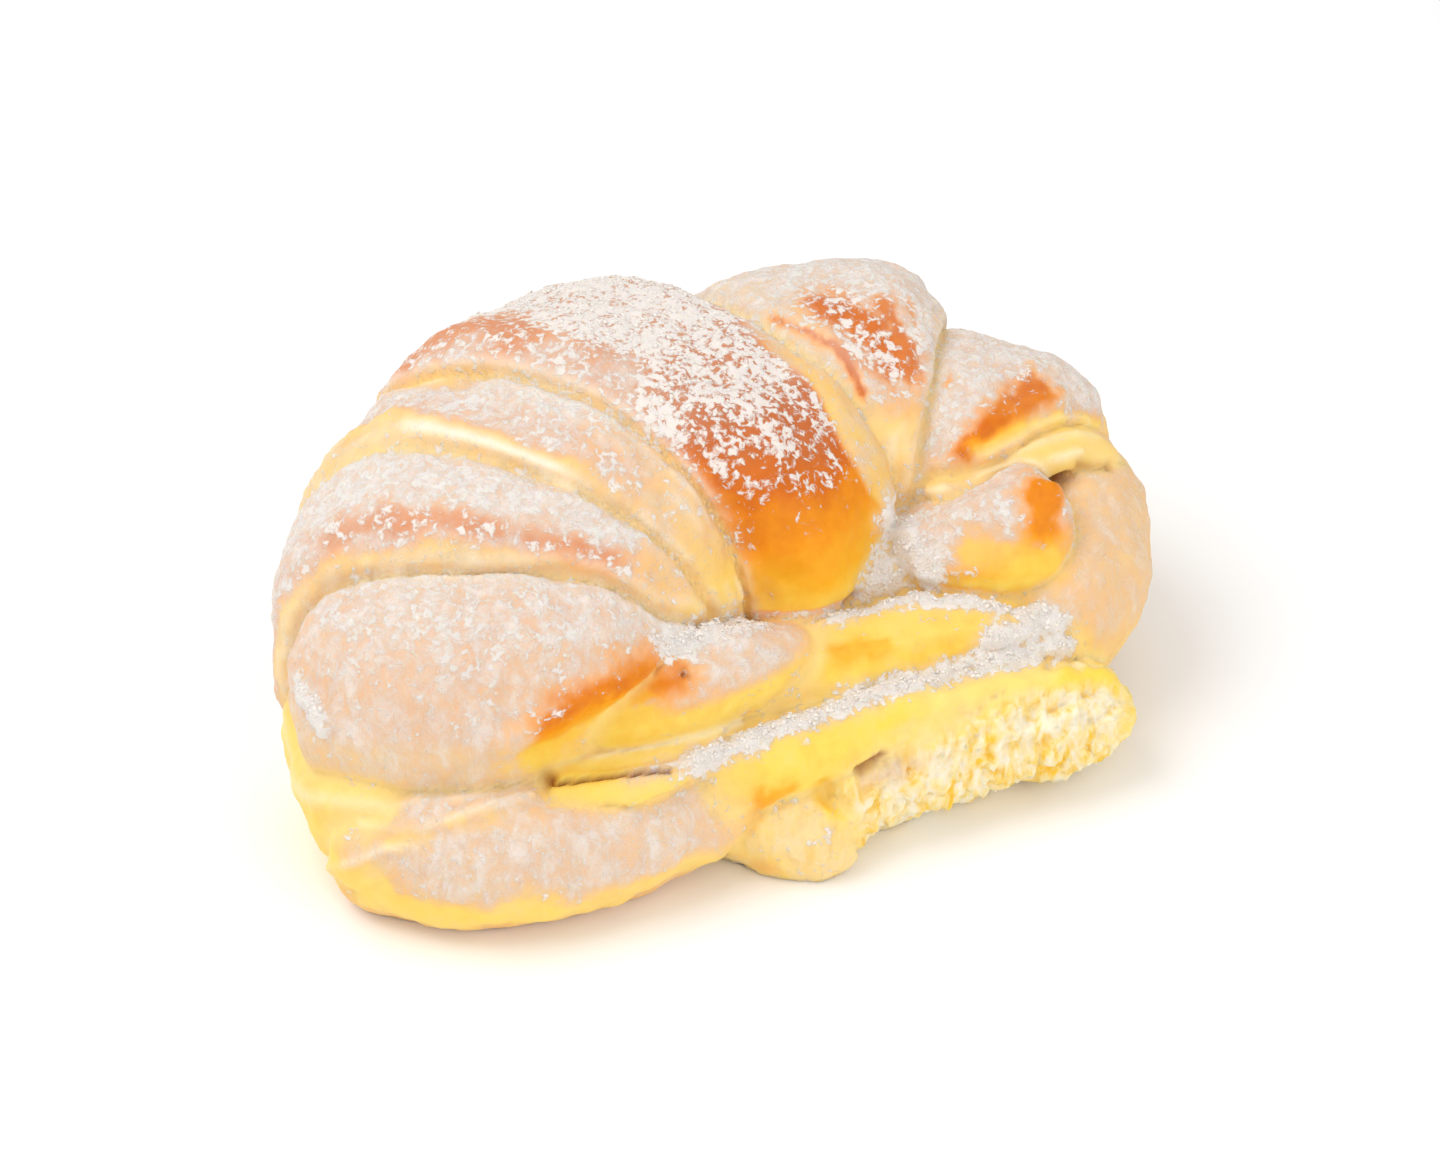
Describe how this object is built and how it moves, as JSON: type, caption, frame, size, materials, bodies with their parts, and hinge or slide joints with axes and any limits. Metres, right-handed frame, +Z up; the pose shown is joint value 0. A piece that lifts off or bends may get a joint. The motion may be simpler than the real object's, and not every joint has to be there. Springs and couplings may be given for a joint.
{
  "type": "cream-filled croissant",
  "caption": "Curved cream-filled croissant of soft layered dough, its tapered turns side by side, with tucked-in horns, a torn front lip and a flat underside.",
  "frame": {"origin": "middle of the footprint's bounding rectangle, on the surface that the croissant lies on", "axes": "+X runs along the crescent towards its right-hand horn, +Y points to the outer side of the curve, away from the horns and the torn lip, +Z points up"},
  "size_m": [0.1386, 0.0996, 0.0616],
  "materials": {
    "crust": "soft baked bread crust, golden to brown, dusted with powdered sugar"
  },
  "bodies": {
    "root": {"croissant": "crust"}
  },
  "joints": []
}
